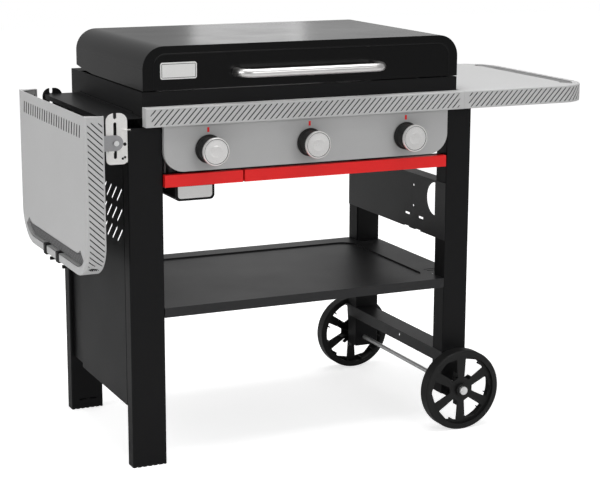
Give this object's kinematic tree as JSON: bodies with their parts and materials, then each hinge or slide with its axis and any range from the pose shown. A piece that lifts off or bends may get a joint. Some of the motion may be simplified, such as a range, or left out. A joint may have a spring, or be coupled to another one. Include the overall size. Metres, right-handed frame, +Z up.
{
  "type": "gas griddle cart",
  "caption": "Wheeled flat-top gas griddle cart with hinged lid, knobs on a front panel, folding and fixed side shelves, pull-out drip tray and bottom shelf.",
  "frame": {"origin": "middle of the footprint of the whole cart, on the floor", "axes": "+X to the right along the cart, +Y to the back, +Z up; the knobs face -Y"},
  "size_m": [1.4416, 0.708, 1.06],
  "materials": {
    "black_satin": "satin black powder coat",
    "black_gloss": "gloss black enamel",
    "gray_coat": "fine textured light gray powder coat",
    "gray_panel": "metallic mid gray coat",
    "red_coat": "gloss red coat",
    "stainless": "brushed stainless steel",
    "zinc": "bright zinc plate",
    "rolled_steel": "bare rolled steel, oiled dark",
    "aluminised": "aluminised sheet",
    "silver_cap": "bright plated cap",
    "brass": "machined brass",
    "cast_alloy": "die-cast body",
    "black_plastic": "moulded black plastic",
    "rubber": "black rubber"
  },
  "bodies": {
    "cart": {"axle": "zinc", "axle_nuts": "zinc", "bottom_shelf": "black_satin", "bracket_screws": "zinc", "burner_1": "aluminised", "burner_2": "aluminised", "burner_3": "aluminised", "burner_box": "black_satin", "control_panel": "gray_panel", "cook_box": "black_satin", "cross_panel_right": "black_satin", "crossbar_right": "black_satin", "foot_caps": "rubber", "front_crossbar": "black_satin", "front_ledge": "gray_coat", "gas_inlet": "brass", "grease_chute": "aluminised", "hinge_brackets": "black_satin", "hinge_pins": "zinc", "leg_front_left": "black_satin", "leg_front_right": "black_satin", "leg_rear_left": "black_satin", "leg_rear_right": "black_satin", "lid_bumpers": "rubber", "manifold": "aluminised", "rear_crossbar": "black_satin", "red_rail": "red_coat", "right_supports": "black_satin", "shelf_bolts": "zinc", "shelf_bracket": "zinc", "shelf_right": "gray_coat", "side_panel_left": "black_satin", "tray_guides": "aluminised", "valve_1": "cast_alloy", "valve_2": "cast_alloy", "valve_3": "cast_alloy"},
    "lid": {"lid": "black_gloss", "lid_arms": "black_satin", "lid_handle": "stainless", "lid_badge": "stainless"},
    "tray": {"drip_tray": "black_satin", "tray_face": "stainless", "tray_front": "red_coat"},
    "griddle": {"griddle_plate": "rolled_steel"},
    "rod": {"pivot_rod": "zinc"},
    "left_shelf": {"shelf_left": "gray_coat", "shelf_arms": "zinc"},
    "hook_1": {"tool_hook_1": "black_plastic"},
    "hook_2": {"tool_hook_2": "black_plastic"},
    "front_wheel": {"wheel_front": "black_plastic"},
    "rear_wheel": {"wheel_rear": "black_plastic"},
    "stem_1": {"valve_stem_1": "brass"},
    "knob_1": {"knob_1": "black_plastic", "knob_cap_1": "silver_cap"},
    "stem_2": {"valve_stem_2": "brass"},
    "knob_2": {"knob_2": "black_plastic", "knob_cap_2": "silver_cap"},
    "stem_3": {"valve_stem_3": "brass"},
    "knob_3": {"knob_3": "black_plastic", "knob_cap_3": "silver_cap"}
  },
  "joints": [
    {"name": "lid_hinge", "type": "hinge", "parent": "cart", "child": "lid", "pos_m": [-0.12421, 0.279, 0.968], "axis": [-1, 0, 0], "range_deg": [0, 95]},
    {"name": "tray_slide", "type": "slide", "parent": "cart", "child": "tray", "axis": [0, -1, 0], "range_m": [0, 0.38]},
    {"name": "griddle_lift", "type": "slide", "parent": "cart", "child": "griddle", "axis": [0, 0, 1], "range_m": [0, 0.06]},
    {"name": "rod_lift", "type": "slide", "parent": "cart", "child": "rod", "axis": [0, 0, 1], "range_m": [0, 0.045]},
    {"name": "left_shelf_fold", "type": "hinge", "parent": "rod", "child": "left_shelf", "pos_m": [-0.63521, -0.017, 0.832], "axis": [0, 1, 0], "range_deg": [0, 90]},
    {"name": "hook_1_slide", "type": "slide", "parent": "left_shelf", "child": "hook_1", "axis": [0, 1, 0], "range_m": [-0.15, 0.03]},
    {"name": "hook_2_slide", "type": "slide", "parent": "left_shelf", "child": "hook_2", "axis": [0, 1, 0], "range_m": [-0.03, 0.1]},
    {"name": "front_wheel_turn", "type": "hinge", "parent": "cart", "child": "front_wheel", "pos_m": [0.30879, -0.326, 0.11], "axis": [0, 1, 0], "continuous": true},
    {"name": "rear_wheel_turn", "type": "hinge", "parent": "cart", "child": "rear_wheel", "pos_m": [0.30879, 0.326, 0.11], "axis": [0, 1, 0], "continuous": true},
    {"name": "valve_1_turn", "type": "hinge", "parent": "cart", "child": "stem_1", "pos_m": [-0.39921, -0.277, 0.805], "axis": [0, -1, 0], "range_deg": [0, 135]},
    {"name": "knob_1_push", "type": "slide", "parent": "stem_1", "child": "knob_1", "axis": [0, 1, 0], "range_m": [0, 0.003], "stiffness_N_per_m": 1500},
    {"name": "valve_2_turn", "type": "hinge", "parent": "cart", "child": "stem_2", "pos_m": [-0.12421, -0.277, 0.805], "axis": [0, -1, 0], "range_deg": [0, 135]},
    {"name": "knob_2_push", "type": "slide", "parent": "stem_2", "child": "knob_2", "axis": [0, 1, 0], "range_m": [0, 0.003], "stiffness_N_per_m": 1500},
    {"name": "valve_3_turn", "type": "hinge", "parent": "cart", "child": "stem_3", "pos_m": [0.15079, -0.277, 0.805], "axis": [0, -1, 0], "range_deg": [0, 135]},
    {"name": "knob_3_push", "type": "slide", "parent": "stem_3", "child": "knob_3", "axis": [0, 1, 0], "range_m": [0, 0.003], "stiffness_N_per_m": 1500}
  ]
}
